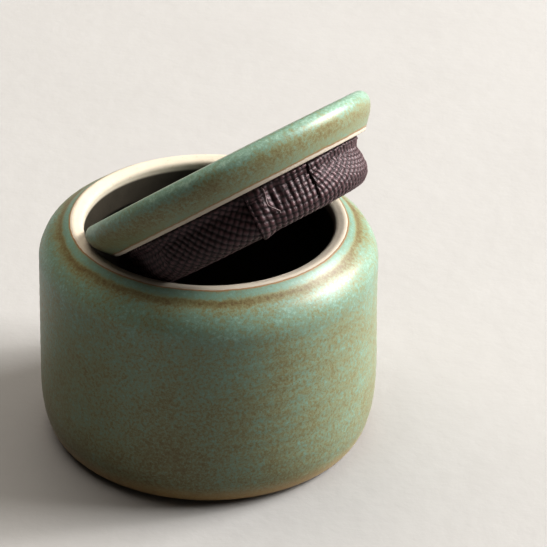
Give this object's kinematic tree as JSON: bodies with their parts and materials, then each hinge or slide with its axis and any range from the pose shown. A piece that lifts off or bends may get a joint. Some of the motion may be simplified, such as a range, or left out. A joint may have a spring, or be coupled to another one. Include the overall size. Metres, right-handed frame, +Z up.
{
  "type": "inkwell",
  "caption": "Squat lidded stoneware inkwell with rounded shoulder, bare clay rim and a flared disc lid whose cloth-covered stopper leans in the open mouth.",
  "frame": {"origin": "on the table under the middle of the pot", "axes": "+Z up along the pot's axis; the lid's low edge leans towards -X and +Y, and -Y is the front with the raised edge to the right"},
  "size_m": [0.0806, 0.0806, 0.0948],
  "materials": {
    "pot_glaze": "satin sage-green stoneware glaze with fine olive-brown mottling, bare cream clay at the rim and foot, near-black glaze inside",
    "lid_glaze": "satin sage-green stoneware glaze with fine olive-brown mottling, bare cream clay underneath",
    "glue": "set wood glue",
    "cork": "turned cork",
    "felt": "pressed wool felt",
    "cloth": "coarse plain-weave cloth in dark aubergine brown, slightly lustrous thread",
    "thread": "waxed linen thread"
  },
  "bodies": {
    "pot": {"pot_body": "pot_glaze"},
    "lid": {"lid_disc": "lid_glaze", "glue_bed": "glue", "stopper_core": "cork", "padding_ring": "felt", "padding_disc": "felt", "stopper_cloth": "cloth", "gathering_thread": "thread"}
  },
  "joints": [
    {"name": "lid_lift", "type": "slide", "parent": "pot", "child": "lid", "axis": [0, 0, 1], "range_m": [0, 0.06]}
  ]
}
